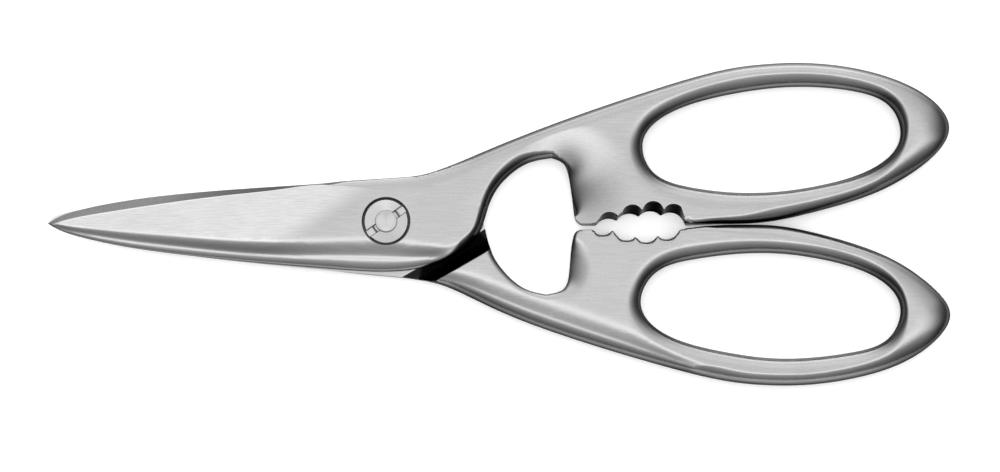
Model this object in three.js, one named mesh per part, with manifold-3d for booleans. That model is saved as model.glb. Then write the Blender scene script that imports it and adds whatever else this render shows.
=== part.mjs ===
// Poultry shears, 200 mm long: two forged stainless steel halves that turn on a bolt under a
// slotted ring nut. Millimetres. +X runs from the pivot to the finger rings, +Z comes out of the
// front face along the pivot axis, and the origin is on that axis in the back face.
//
// Both halves are described as seen from their own outer face, with the cutting edge up (+Y).
// The front half stands like that. The back half is turned over about the X axis.

import * as THREE from 'three';
import { mergeVertices } from 'three/addons/utils/BufferGeometryUtils.js';
import Module from 'manifold-3d';

const wasm = await Module();
wasm.setup();

// ---- driving dimensions -------------------------------------------------------------------

const THICKNESS = 7;                        // both halves together
const GAP = 0.3;                            // between neighbouring pieces
const MATING_Z = (THICKNESS + GAP) / 2;     // inner face of a half, in its own frame
const EDGE_ROUND = 1;                       // softened edge all round each half
const HANDLE_START_X = 8;                   // the blade blank runs on into the handle blank
const HANDLE_OVERLAP = 5;
const CURVE_STEPS = 4;                      // straight pieces between two outline points
const ROUND_STEPS = 48;                     // sides of a turned part
const MERGE_DISTANCE = 1e-5;
const CLEAR = 1;                            // cutting tools run this far past a face
const TOOL_LENGTH = 200;                    // longer than any half

// The step where a half changes from full handle thickness to half thickness.
const STEP_DISTANCE = 17;
const STEP_ANGLE = THREE.MathUtils.degToRad(59.8);
const STEP_FOOT_REACH = 2.8;                // hollow round from the step's crest to its foot
const STEP_CREST_Z = 0.5;
const STEP_FOOT_POWER = 1.5;                // 1 is a straight ramp
const STEP_FOOT_STEPS = 6;

// The ground outer face of a blade starts on an oblique line and falls towards the tip.
const GRIND_START = new THREE.Vector2(-6.9, 7.2);
const GRIND_END = new THREE.Vector2(-25.8, -6.1);
const GRIND_SLOPE = 0.068;
const EDGE_LAND_Z = MATING_Z + 0.25;        // the cutting edge keeps this much thickness
const SPINE_EDGE_Z = MATING_Z + 0.9;        // where the rounded spine meets its side
const SPINE_SHARE = 0.32;                   // how far the rounding reaches towards the X axis
const SPINE_X = [-71, -14];
const BEVEL_END_X = -11;
const MIN_BEVEL = 0.05;

// Nutcracker jaws: a row of round bites behind a blunt tooth.
const BITE_RADIUS = 2.5;
const BITE_STEP = 0.5;
const TOOTH_X = 46.2;
const JAW_END_X = 66.4;
const STOP_END_X = 82;

// Pivot hardware
const THREAD_RADIUS = 2.4;
const NUT_RADIUS = 4.95;
const NUT_BOTTOM_Z = 5.6;
const NUT_TOP_Z = 6.9;
const NUT_SLOT_WIDTH = 1.9;
const NUT_SLOT_DEPTH = 1;
const NUT_SLOT_TURN = THREE.MathUtils.degToRad(35);
const NUT_RIM_CHAMFER = 0.25;
const NUT_BORE_CHAMFER = 0.3;
const BOLT_TOP_Z = 6.95;
const BOLT_END_ROUND = 0.3;
const BOLT_END_DOME = 0.1;
const SPRING_Z = 4.9;
const SPRING_THICKNESS = 0.25;
const SPRING_RISE = 0.15;
const SPRING_RADIUS = 4.6;
const SEAT_FLOOR_Z = 4.6;
const WASHER_RADIUS = 7;
const WASHER_Z = [2.95, 3.35];
const HEAD_RADIUS = 4.6;
const HEAD_HEIGHT = 1.2;
const NECK_WIDTH = 5.2;
const NECK_TOP_Z = 2.65;

const FRONT = {
  // cutting edge, shank, far side of the ring, and back to the handle stop
  edge: [
    [-75, -0.3], [-72.6, 1.2], [-69, 2.5], [-63.4, 3.8], [-52.3, 5.6], [-35.7, 7.2],
    [-19.1, 8.3], [-8, 9], [3, 9.8], [9.5, 10.8], [19.7, 14.9], [36.3, 21.6], [58.5, 29.3],
    [75.1, 34], [84, 35.2], [92, 35.5], [102.8, 34.5], [113.9, 31.4], [121.6, 26.8],
    [124.9, 21.6], [122.6, 16.1], [114.4, 9.6], [104.8, 5.2], [92, 1.6], [STOP_END_X, -0.23],
  ],
  // blunt tooth, D-shaped opening, belly beside the pivot, and blade spine back to the tip
  inner: [
    [43, -0.77], [42.3, 0.1], [41.5, 2.1], [41, 6.5], [40.4, 10.2], [39.4, 13], [36.6, 14.3],
    [31.5, 13.2], [27, 10.2], [23.6, 5.8], [21.8, 0.6], [20.7, -2.2], [18.4, -5.2], [14.3, -8],
    [8.5, -10], [0, -10.9], [-12, -10.3], [-30.2, -8.8], [-46.8, -7], [-57.9, -5.4],
    [-66, -3.7], [-72, -1.9], [-75, -0.3],
  ],
  ringHole: [
    [113.8, 18.4], [111.9, 25.6], [103.9, 29.2], [90, 30.2], [75.6, 28.4], [63.1, 24.5],
    [57, 18.4], [59, 11.3], [67.2, 7.8], [80.5, 6.5], [95.7, 8.1], [108.2, 12.3],
  ],
  bevel: [
    [-76.5, -1.4], [-71.8, 0.3], [-64, 1.85], [-56.8, 2.95], [-45.7, 4.35], [-30.2, 6.3],
    [-18.4, 7.65], [-10, 8.85],
  ],
  bites: [[49.4, 1.5], [54.05, 2.9], [58.7, 3.6], [63.35, 3.15]],
  partingY: (x) => -0.3 + (x - 77) * 0.0138,
};

const BACK = {
  edge: [
    [-75.2, 0.2], [-72, 1.5], [-66, 3.4], [-57.9, 5.2], [-46.8, 6.9], [-35.7, 8.3],
    [-24.6, 9.5], [-13.6, 10.5], [-2.5, 11.6], [7, 12.6], [14.1, 14.6], [25.2, 19.8],
    [41.8, 26], [58.5, 31.1], [75.1, 35.2], [86, 36.2], [94, 36], [104, 34.5], [114, 31.3],
    [121.6, 26.2], [124.9, 20.9], [122.9, 16.4], [114.7, 9.7], [104.8, 5.2], [93, 1.9],
    [STOP_END_X, 0.53],
  ],
  inner: [
    [43, 1.07], [42.3, 1.7], [41.3, 3.3], [40.8, 7.3], [40.4, 12], [39.2, 15], [35.4, 16.2],
    [30.5, 14.8], [26.3, 11.3], [23.6, 7.3], [22.2, 2.6], [21.6, 0.3], [20.6, -2.2],
    [18.2, -4.9], [14.2, -7.2], [8.5, -8.7], [0, -9.3], [-12, -8.5], [-30.2, -7],
    [-46.8, -5.6], [-57.9, -4.4], [-66, -3.2], [-71.1, -2.2], [-73.9, -1.1], [-75.2, 0.2],
  ],
  ringHole: [
    [113.7, 18.5], [111.3, 25.6], [103, 28.9], [88.2, 30.3], [74.8, 28.8], [61.7, 24.8],
    [56.4, 18.5], [59.3, 11.5], [67.6, 8.3], [81.9, 6.8], [95.4, 8], [108.4, 12.2],
  ],
  bevel: [
    [-76.7, -0.9], [-71.8, 0.2], [-64, 2.1], [-56.8, 3.5], [-45.7, 5.4], [-30.2, 7.6],
    [-18.4, 9.4], [-10, 10.75],
  ],
  bites: [[48.2, 3.4], [52.8, 4.45], [57.4, 4.9], [62, 4.2]],
  partingY: (x) => 0.6 - (x - 77) * 0.0138,
};

const STEEL = { color: 0xc9c9c6, roughness: 0.32, metalness: 1 };
const HARDWARE_STEEL = { color: 0xbdbdb9, roughness: 0.25, metalness: 1 };
const SPRING_STEEL = { color: 0x8f8f8c, roughness: 0.4, metalness: 1 };
const BRONZE = { color: 0xb08d57, roughness: 0.45, metalness: 1 };

// ---- curves and solids ----------------------------------------------------------------------

/** Points along a smooth curve through the given points. */
function smooth(points, closed = false) {
  const knots = points.map(([x, y]) => new THREE.Vector3(x, y, 0));
  const spans = closed ? points.length : points.length - 1;
  const curve = new THREE.CatmullRomCurve3(knots, closed, 'centripetal');
  const line = curve.getPoints(spans * CURVE_STEPS).map((p) => new THREE.Vector2(p.x, p.y));
  if (closed) line.pop();
  return line;
}

/** The height of a polyline above X. */
function heightAt(line, x) {
  const next = line.findIndex((p) => p.x > x);
  if (next <= 0) return next === 0 ? line[0].y : line[line.length - 1].y;
  const [a, b] = [line[next - 1], line[next]];
  return THREE.MathUtils.mapLinear(x, a.x, b.x, a.y, b.y);
}

/** A three.js geometry as a manifold solid. */
function solid(geometry) {
  const bare = geometry.clone();
  bare.deleteAttribute('normal');
  bare.deleteAttribute('uv');
  const merged = mergeVertices(bare, MERGE_DISTANCE);
  return new wasm.Manifold(new wasm.Mesh({
    numProp: 3,
    vertProperties: new Float32Array(merged.attributes.position.array),
    triVerts: new Uint32Array(merged.index.array),
  }));
}

/** A manifold solid as a named mesh. */
function part(name, shape, look) {
  const { vertProperties, triVerts } = shape.getMesh();
  const geometry = new THREE.BufferGeometry();
  geometry.setAttribute('position', new THREE.BufferAttribute(vertProperties, 3));
  geometry.setIndex(new THREE.BufferAttribute(triVerts, 1));
  geometry.computeVertexNormals();
  const mesh = new THREE.Mesh(geometry, new THREE.MeshStandardMaterial(look));
  mesh.name = name;
  return mesh;
}

/** A round bar on the Z axis from z0 to z1. */
function disc(radius, z0, z1, x = 0, y = 0) {
  const bar = new THREE.CylinderGeometry(radius, radius, z1 - z0, ROUND_STEPS);
  return solid(bar.rotateX(Math.PI / 2).translate(x, y, (z0 + z1) / 2));
}

/** A block centred on the Z axis from z0 to z1, turned about it. */
function block(width, depth, z0, z1, turn = 0) {
  const box = new THREE.BoxGeometry(width, depth, z1 - z0);
  return solid(box.translate(0, 0, (z0 + z1) / 2).rotateZ(turn));
}

/** A turned part from a closed profile of [radius, z] points. */
function turned(profile) {
  const points = [...profile, profile[0]].map(([r, z]) => new THREE.Vector2(r, z));
  return solid(new THREE.LatheGeometry(points, ROUND_STEPS).rotateX(Math.PI / 2));
}

/** A closed solid through triangles of [x, y, z] corners, one triangle a station. */
function loft(stations) {
  const last = (stations.length - 1) * 3;
  const index = [0, 1, 2, last, last + 2, last + 1];
  for (let s = 0; s < last; s += 3) {
    for (let corner = 0; corner < 3; corner += 1) {
      const [a, b] = [s + corner, s + ((corner + 1) % 3)];
      index.push(a, a + 3, b, b, a + 3, b + 3);
    }
  }
  const geometry = new THREE.BufferGeometry();
  geometry.setAttribute('position', new THREE.Float32BufferAttribute(stations.flat(2), 3));
  geometry.setIndex(index);
  return solid(geometry);
}

// ---- one half of the shears -------------------------------------------------------------------

/** The row of round bites in the jaw, as a cut through the whole thickness. */
function jawCut({ bites, partingY }) {
  const line = [];
  for (let x = JAW_END_X; x > TOOTH_X; x -= BITE_STEP) {
    const tops = bites.map(([biteX, topY]) => {
      const rise = BITE_RADIUS ** 2 - (x - biteX) ** 2;
      return rise > 0 ? topY - BITE_RADIUS + Math.sqrt(rise) : -Infinity;
    });
    line.push(new THREE.Vector2(x, Math.max(partingY(x), ...tops)));
  }
  line.push(new THREE.Vector2(TOOTH_X, partingY(TOOTH_X) - THICKNESS));
  line.push(new THREE.Vector2(JAW_END_X, partingY(JAW_END_X) - THICKNESS));
  return slab(line, { depth: 2 * THICKNESS, bevelEnabled: false }, -THICKNESS / 2);
}

/** An outline as a slab that starts at z0. */
function slab(outline, options, z0, holes = []) {
  const shape = new THREE.Shape(outline);
  shape.holes.push(...holes.map((hole) => new THREE.Path(hole)));
  return solid(new THREE.ExtrudeGeometry(shape, options).translate(0, 0, z0));
}

/** The whole forging at full thickness: square-edged blade, handle with softened edges. */
function blank(half) {
  const edge = smooth(half.edge);
  const inner = smooth(half.inner);
  const isHandle = (p) => p.x > HANDLE_START_X;
  const isBlade = (p) => p.x < HANDLE_START_X + HANDLE_OVERLAP;
  const handle = slab([...edge.filter(isHandle), ...inner.filter(isHandle)], {
    depth: THICKNESS - 2 * EDGE_ROUND,
    bevelThickness: EDGE_ROUND,
    bevelSize: EDGE_ROUND,
    bevelOffset: -EDGE_ROUND,
    bevelSegments: 1,
  }, EDGE_ROUND, [smooth(half.ringHole, true)]);
  const blade = slab([...edge.filter(isBlade), ...inner.filter(isBlade).slice(0, -1)], {
    depth: THICKNESS,
    bevelEnabled: false,
  }, 0);
  return handle.add(blade).subtract(jawCut(half));
}

/** What is cut away behind the blade and pivot, down to the hollow foot of the step. */
function innerCut() {
  const start = STEP_DISTANCE - TOOL_LENGTH;
  const profile = [new THREE.Vector2(start, -CLEAR), new THREE.Vector2(start, MATING_Z)];
  for (let i = 0; i <= STEP_FOOT_STEPS; i += 1) {
    const share = i / STEP_FOOT_STEPS;
    profile.push(new THREE.Vector2(
      STEP_DISTANCE - STEP_FOOT_REACH * (1 - share),
      MATING_Z - (MATING_Z - STEP_CREST_Z) * share ** STEP_FOOT_POWER,
    ));
  }
  profile.push(new THREE.Vector2(STEP_DISTANCE, -CLEAR));
  const cut = new THREE.ExtrudeGeometry(new THREE.Shape(profile), {
    depth: TOOL_LENGTH,
    bevelEnabled: false,
  });
  cut.translate(0, 0, -TOOL_LENGTH / 2).rotateX(Math.PI / 2).rotateZ(STEP_ANGLE);
  return solid(cut);
}

/** Height of the ground face, and of the flat face before it. */
function faceZ(x, y) {
  const along = GRIND_END.clone().sub(GRIND_START).normalize();
  const past = (x - GRIND_START.x) * along.y - (y - GRIND_START.y) * along.x;
  return THICKNESS - GRIND_SLOPE * Math.max(0, -past);
}

/** What is ground off the outer face of the blade. */
function grindCut() {
  const along = GRIND_END.clone().sub(GRIND_START).normalize();
  const across = new THREE.Vector2(along.y, -along.x);
  const [behind, ahead] = [TOOL_LENGTH / 8, TOOL_LENGTH / 2];
  const high = THICKNESS + GRIND_SLOPE * behind;
  const low = THICKNESS - GRIND_SLOPE * ahead;
  const station = (shift) => {
    const start = GRIND_START.clone().addScaledVector(along, shift);
    const near = start.clone().addScaledVector(across, -behind);
    const far = start.clone().addScaledVector(across, ahead);
    return [[near.x, near.y, high], [far.x, far.y, low], [far.x, far.y, 2 * high]];
  };
  return loft([station(-TOOL_LENGTH / 2), station(TOOL_LENGTH / 2)]);
}

/** A slanted cut from an inner line in the outer face down to an outer line at edgeZ. */
function slantCut(outerLine, innerLine, edgeZ, side) {
  const stations = outerLine.map((edge, i) => {
    const inner = innerLine[i];
    const top = faceZ(inner.x, inner.y);
    const out = edge.clone().multiplyScalar(2).sub(inner);
    const back = inner.clone().multiplyScalar(2).sub(edge);
    return [
      [out.x, out.y, 2 * edgeZ - top],
      [back.x, back.y, 2 * top - edgeZ],
      [out.x, out.y, 2 * THICKNESS],
    ];
  });
  return loft(side > 0 ? stations : stations.toReversed());
}

/** The bevel along the cutting edge. */
function bevelCut(half) {
  const edge = smooth(half.edge);
  const bevel = smooth(half.bevel).filter((p) => p.x < BEVEL_END_X);
  const above = bevel.map(({ x, y }) => (
    new THREE.Vector2(x, Math.max(heightAt(edge, x), y + MIN_BEVEL))
  ));
  return slantCut(above, bevel, EDGE_LAND_Z, 1);
}

/** The rounded spine along the other edge of the blade, as one flat. */
function spineCut(half) {
  const [from, to] = SPINE_X;
  const spine = smooth(half.inner).filter((p) => p.x > from && p.x < to).toReversed();
  const inner = spine.map((p) => new THREE.Vector2(p.x, p.y * (1 - SPINE_SHARE)));
  return slantCut(spine, inner, SPINE_EDGE_Z, -1);
}

/** A half in its own frame. */
function halfSolid(half, pivotCuts) {
  const cuts = [innerCut(), grindCut(), bevelCut(half), spineCut(half), ...pivotCuts];
  return cuts.reduce((shape, cut) => shape.subtract(cut), blank(half));
}

function frontHalf() {
  const seat = disc(NUT_RADIUS + GAP, SEAT_FLOOR_Z, THICKNESS + CLEAR);
  const bore = disc(THREAD_RADIUS + GAP, -CLEAR, THICKNESS);
  return part('front_half', halfSolid(FRONT, [seat, bore]), STEEL);
}

function backHalf() {
  const recess = disc(WASHER_RADIUS + GAP, -CLEAR, THICKNESS - WASHER_Z[0] + GAP);
  const keyWidth = NECK_WIDTH + 2 * GAP;
  const keyhole = block(keyWidth, keyWidth, -CLEAR, THICKNESS + 2 * CLEAR);
  const headSeat = disc(HEAD_RADIUS + GAP, THICKNESS - HEAD_HEIGHT - GAP, THICKNESS + CLEAR);
  const mesh = part('back_half', halfSolid(BACK, [recess, keyhole, headSeat]), STEEL);
  mesh.rotation.x = Math.PI;
  mesh.position.z = THICKNESS;
  return mesh;
}

// ---- pivot hardware ---------------------------------------------------------------------------

function pivotBolt() {
  const head = disc(HEAD_RADIUS, 0, HEAD_HEIGHT);
  const neck = block(NECK_WIDTH, NECK_WIDTH, HEAD_HEIGHT / 2, NECK_TOP_Z);
  const dome = turned([
    [0, HEAD_HEIGHT], [THREAD_RADIUS, HEAD_HEIGHT],
    [THREAD_RADIUS, BOLT_TOP_Z - BOLT_END_ROUND],
    [THREAD_RADIUS - BOLT_END_ROUND, BOLT_TOP_Z - BOLT_END_DOME], [0, BOLT_TOP_Z],
  ]);
  return part('pivot_bolt', head.add(neck).add(dome), HARDWARE_STEEL);
}

function pivotNut() {
  const bore = THREAD_RADIUS + GAP;
  const ring = turned([
    [bore, NUT_BOTTOM_Z], [NUT_RADIUS, NUT_BOTTOM_Z], [NUT_RADIUS, NUT_TOP_Z - NUT_RIM_CHAMFER],
    [NUT_RADIUS - NUT_RIM_CHAMFER, NUT_TOP_Z], [bore + NUT_BORE_CHAMFER, NUT_TOP_Z],
    [bore, NUT_TOP_Z - NUT_BORE_CHAMFER],
  ]);
  const floor = NUT_TOP_Z - NUT_SLOT_DEPTH;
  const slot = block(3 * NUT_RADIUS, NUT_SLOT_WIDTH, floor, THICKNESS, NUT_SLOT_TURN);
  return part('pivot_nut', ring.subtract(slot), HARDWARE_STEEL);
}

function discSpring() {
  const bore = THREAD_RADIUS + GAP;
  const shape = turned([
    [bore, SPRING_Z + SPRING_RISE], [SPRING_RADIUS, SPRING_Z],
    [SPRING_RADIUS, SPRING_Z + SPRING_THICKNESS],
    [bore, SPRING_Z + SPRING_THICKNESS + SPRING_RISE],
  ]);
  return part('disc_spring', shape, SPRING_STEEL);
}

function bearingWasher() {
  const [bottom, top] = WASHER_Z;
  const bore = disc(THREAD_RADIUS + GAP, bottom - CLEAR, top + CLEAR);
  return part('bearing_washer', disc(WASHER_RADIUS, bottom, top).subtract(bore), BRONZE);
}

const shears = new THREE.Group();
shears.name = 'poultry_shears';
shears.add(frontHalf(), backHalf(), pivotBolt(), pivotNut(), discSpring(), bearingWasher());

export default shears;
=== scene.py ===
"""Poultry shears in brushed forged steel. Outlines are in millimetres, as on a drawing.

Both halves are drawn as seen from their own outer face, with the cutting edge up. The front half
stands like that, and the back half is turned over about the X axis.
"""

import bpy
import math
import numpy as np
from mathutils import Matrix, Vector
from mathutils.geometry import delaunay_2d_cdt


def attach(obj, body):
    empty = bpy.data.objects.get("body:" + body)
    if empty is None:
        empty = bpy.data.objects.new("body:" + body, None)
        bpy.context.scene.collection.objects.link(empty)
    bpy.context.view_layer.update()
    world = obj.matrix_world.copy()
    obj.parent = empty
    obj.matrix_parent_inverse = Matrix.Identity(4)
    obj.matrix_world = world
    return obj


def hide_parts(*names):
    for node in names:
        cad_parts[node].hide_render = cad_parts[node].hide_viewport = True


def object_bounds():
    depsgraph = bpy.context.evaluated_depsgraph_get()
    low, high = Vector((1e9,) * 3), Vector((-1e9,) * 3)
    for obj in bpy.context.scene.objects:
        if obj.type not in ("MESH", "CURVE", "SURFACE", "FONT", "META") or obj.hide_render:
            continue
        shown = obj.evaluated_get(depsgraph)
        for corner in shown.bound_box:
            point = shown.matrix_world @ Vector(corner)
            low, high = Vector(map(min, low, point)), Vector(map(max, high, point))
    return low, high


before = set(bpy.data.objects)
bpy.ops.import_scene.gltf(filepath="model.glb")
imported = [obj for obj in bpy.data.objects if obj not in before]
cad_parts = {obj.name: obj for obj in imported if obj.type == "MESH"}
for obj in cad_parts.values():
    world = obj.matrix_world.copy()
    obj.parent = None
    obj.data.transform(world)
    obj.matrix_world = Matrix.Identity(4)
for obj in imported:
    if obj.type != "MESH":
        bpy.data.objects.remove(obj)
cad_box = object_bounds()

MM = 0.001
THICKNESS = (cad_box[1].z - cad_box[0].z) / MM
MIDDLE_Z = THICKNESS / 2
MATING_Z = MIDDLE_Z + 0.15            # inner face of a half, in its own frame

# Columns of an outline row: place, then the four numbers of an edge style, then width.
X, Y, LOW, POWER, SHOULDER, HOLLOW, WIDTH = range(7)

# How an edge of a half is shaped: height of its outermost line, roundness of its section
# (1 is a flat bevel, 2 an ellipse), the share of its fall that lies in a soft shoulder, and how
# hollow that shoulder is (3 ends level at the rounded lip).
STYLES = {
    "bevel": (MATING_Z + 0.2, 1.0, 0.0, 3.0),
    "tip": (MATING_Z + 0.2, 1.6, 0.0, 2.0),
    "spine": (MATING_Z + 0.3, 2.0, 0.55, 2.0),
    "belly": (MATING_Z + 0.5, 2.0, 0.4, 3.0),
    "hip": (MATING_Z + 0.5, 2.0, 0.1, 3.0),
    "pivot": (MATING_Z + 2.2, 2.0, 0.0, 3.0),
    "dee": (MATING_Z + 0.5, 1.6, 0.0, 3.0),
    "lip": (MATING_Z + 2.2, 2.0, 0.0, 3.0),
    "wall": (MATING_Z + 2.9, 2.0, 0.0, 3.0),
    "dished": (MIDDLE_Z + 0.05, 1.5, 0.0, 3.0),
    "eased": (MIDDLE_Z + 2, 1.4, 0.0, 3.0),
    "shank": (MIDDLE_Z + 0.05, 1.8, 0.22, 1.5),
    "round": (MIDDLE_Z + 0.9, 1.9, 0.0, 1.0),
    "sharp": (MIDDLE_Z + 0.05, 1.9, 0.0, 1.0),
}
BEVEL_POWER = 1.3                     # an edge with less than this is a cutting bevel
FULL_SHOULDER = 0.1                   # from this share on, the rounded lip has its least reach
LIP_REACH = 0.36                      # how much of a fully shouldered edge is its rounded lip

# Outlines: x, y, edge style, width of the shaped edge.
FRONT = {
    "edge": [
        (-75, -0.3, "bevel", 0.5), (-72.6, 1.2, "bevel", 1.2), (-69, 2.5, "bevel", 1.55),
        (-63.4, 3.8, "bevel", 1.85), (-52.3, 5.6, "bevel", 1.95), (-35.7, 7.2, "bevel", 1.4),
        (-24, 8.0, "bevel", 0.95), (-15, 8.6, "bevel", 0.5), (-8, 9.1, "pivot", 1.6),
        (3, 9.8, "pivot", 3), (9.5, 10.8, "pivot", 3.2), (19.7, 14.9, "round", 3.1),
        (36.3, 21.6, "round", 3), (58.5, 29.3, "round", 3.2), (75.1, 34, "round", 2.8),
        (84, 35.2, "round", 2.7), (92, 35.5, "round", 2.7), (102.8, 34.5, "round", 3),
        (113.9, 31.4, "round", 4.4), (121.6, 26.8, "round", 6.2), (124.87, 21.6, "sharp", 7.2),
        (122.6, 16.1, "round", 6.2), (114.4, 9.6, "sharp", 3.8), (104.8, 5.2, "sharp", 3.1),
        (92, 1.6, "sharp", 3), (86, 0.35, "sharp", 2.8), (80, -0.24, "sharp", 1.8),
        (74, -0.34, "sharp", 1.2), (68, -0.42, "lip", 0.8),
    ],
    "inner": [
        (43, -0.4, "lip", 0.4), (42, 0.5, "lip", 0.7), (41.5, 2.4, "dished", 3.5),
        (41, 6.5, "dished", 13), (40.4, 10.2, "dished", 11), (39.3, 13, "sharp", 3),
        (36.6, 14.3, "sharp", 2.6), (31.5, 13.2, "sharp", 2.6), (27, 10.2, "sharp", 2.6),
        (23.6, 5.8, "dee", 2), (21.8, 0.6, "dee", 1.9), (20.7, -2.2, "dee", 1.8),
        (18.4, -5.2, "dee", 2.1), (14.3, -8, "hip", 3.2), (8.5, -10, "belly", 5.4),
        (0, -10.9, "belly", 7.8), (-12, -10.3, "belly", 7), (-30.2, -8.8, "spine", 5.2),
        (-46.8, -7, "spine", 4.6), (-57.9, -5.4, "spine", 3.9), (-66, -3.7, "spine", 2.8),
        (-72, -1.9, "spine", 1.5), (-75, -0.3, "tip", 0.6),
    ],
    "hole": [
        (113.8, 18.4, "sharp", 1.7), (111.9, 25.6, "sharp", 3), (103.9, 29.2, "sharp", 3.3),
        (90, 30.2, "sharp", 3.4), (75.6, 28.4, "sharp", 3.4), (63.1, 24.5, "round", 3.1),
        (57, 18.4, "round", 3.4), (59, 11.3, "round", 3.6), (67.2, 7.8, "round", 4),
        (80.5, 6.5, "round", 3.9), (95.7, 8.1, "round", 3.8), (108.2, 12.3, "sharp", 3.2),
    ],
    # nutcracker bites: x and top at the back face, then at the front face
    "bites": [
        [(49.3, 1.1), (53.9, 2.2), (58.5, 2.75), (62.9, 2.45)],
        [(49.4, 2.1), (54.5, 3.65), (59.1, 4.4), (63.6, 3.8)],
    ],
    "parting": lambda x: -0.42 - (68 - x) * 0.002,
    "jaw_lip": (0.15, 0.12),          # depth and width of the jaw's rounded lip
}

BACK = {
    "edge": [
        (-75.2, 0.2, "bevel", 0.5), (-72, 1.5, "bevel", 1.2), (-66, 3.4, "bevel", 1.7),
        (-57.9, 5.2, "bevel", 1.9), (-46.8, 6.9, "bevel", 1.8), (-35.7, 8.3, "bevel", 1.4),
        (-24.6, 9.5, "bevel", 0.9), (-15, 10.4, "bevel", 0.5), (-2.5, 11.6, "pivot", 0.8),
        (7, 12.6, "pivot", 1.2), (14.1, 14.6, "shank", 4.5), (25.2, 19.8, "shank", 7),
        (41.8, 26, "shank", 7.5), (58.5, 31.1, "shank", 6), (75.1, 35.2, "sharp", 2.8),
        (86, 36.2, "sharp", 2.5), (94, 36, "sharp", 2.5), (104, 34.5, "sharp", 3),
        (114, 31.3, "sharp", 4.2), (121.6, 26.2, "round", 6.2), (124.87, 20.9, "sharp", 7.2),
        (122.9, 16.4, "round", 6.2), (114.7, 9.7, "round", 4.4), (104.8, 5.2, "round", 3.2),
        (93, 1.9, "round", 2.9), (86, 0.75, "round", 2.8), (80, 0.55, "round", 2.4),
        (74, 0.65, "round", 1.6), (70, 1.05, "lip", 1), (66.9, 1.45, "lip", 0.8),
    ],
    "inner": [
        (43, 1.85, "lip", 0.7), (42, 2.3, "lip", 0.7), (41.3, 3.8, "lip", 0.9),
        (40.8, 7.6, "eased", 4), (40.4, 12, "eased", 4.5), (39.2, 15, "lip", 2),
        (35.4, 16.2, "lip", 1.3), (30.5, 14.8, "lip", 1.2), (26.3, 11.3, "lip", 1.2),
        (23.6, 7.3, "lip", 1.2), (22.2, 2.6, "pivot", 1), (21.6, 0.3, "pivot", 1),
        (20.6, -2.2, "pivot", 1.2), (18.2, -4.9, "pivot", 1.6), (14.2, -7.2, "pivot", 1.9),
        (8.5, -8.7, "pivot", 2.2), (0, -9.3, "pivot", 2.6), (-12, -8.5, "spine", 3.2),
        (-30.2, -7, "spine", 3.8), (-46.8, -5.6, "spine", 3.6), (-57.9, -4.4, "spine", 3.2),
        (-66, -3.2, "spine", 2.4), (-71.1, -2.2, "spine", 1.5), (-73.9, -1.1, "spine", 0.8),
        (-75.2, 0.2, "tip", 0.6),
    ],
    "hole": [
        (113.7, 18.5, "sharp", 1.7), (111.3, 25.6, "round", 3), (103, 28.9, "round", 3.8),
        (88.2, 30.3, "round", 3.8), (74.8, 28.8, "round", 3.8), (61.7, 24.8, "round", 3.8),
        (56.4, 18.5, "round", 3.4), (59.3, 11.5, "round", 3.2), (67.6, 8.3, "sharp", 3.2),
        (81.9, 6.8, "sharp", 2.8), (95.4, 8, "sharp", 2.8), (108.4, 12.2, "sharp", 3.2),
    ],
    "bites": [
        [(47.9, 2.45), (53.3, 3.65), (57.5, 4.1), (62, 3.4)],
        [(47.9, 3.15), (53.2, 4.35), (57.6, 4.8), (62.1, 4.1)],
    ],
    "parting": lambda x: 1.5 + (66.3 - x) * 0.0175,
    "jaw_lip": (1.1, 0.75),
}

BITE_RADII = (3.3, 2.35)              # at the shallow face and at the deep one
JAW_X = (45.6, 66.3)
JAW_TOP = 8                           # the jaws reach less far than this from the centre line
JAW_WALL = (0.05, 0.3)                # least depth of the slanted wall, at the ends and between
JAW_EDGE = 0.25
DEE_CORNER_X = 39                     # the opening's tight corner is behind this
GRIND_START = np.array([-6.9, 7.2])   # the ground blade face starts on this line
GRIND_END = np.array([-25.8, -6.1])
GRIND_ALONG = (GRIND_END - GRIND_START) / np.linalg.norm(GRIND_END - GRIND_START)
GRIND_NORMAL = np.array([GRIND_ALONG[1], -GRIND_ALONG[0]])
GRIND_LEVEL = float(GRIND_START @ GRIND_NORMAL)
GRIND_SLOPE = 0.068
GRIND_SOFTNESS = 2.5
SERRATION_PITCH = 0.45
STEP_NORMAL = np.array([math.cos(math.radians(59.8)), math.sin(math.radians(59.8))])
STEP_DISTANCE = 17                    # where a half changes from full to half thickness
STEP_WALL = 0.03                      # the step's wall leans this much
STEP_FILLET = 2.8                     # reach of the hollow at the foot of the step
FILLET_POWER = 1.5
STEP_CREST = 0.25                     # radius of the step's top edge
# The relief groove at the foot of the step: distance from the step, half its width, and depth.
GROOVE_MIDDLE, GROOVE_REACH, GROOVE_DEPTH = 2.7, 2.1, 1.4
GROOVE_ROUND = 0.15                   # how blunt its bottom is

# Round seats on the pivot axis: radius and floor height.
FRONT_SEAT = (5.25, 4.6)              # ring nut
HEAD_SEAT = (4.9, 5.5)                # bolt head
WASHER_SEAT = (7.3, 4.35)             # bearing washer
SEAT_CHAMFER = 0.15
FRONT_BORE = 2.7
BACK_BORE = 3.75

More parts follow.
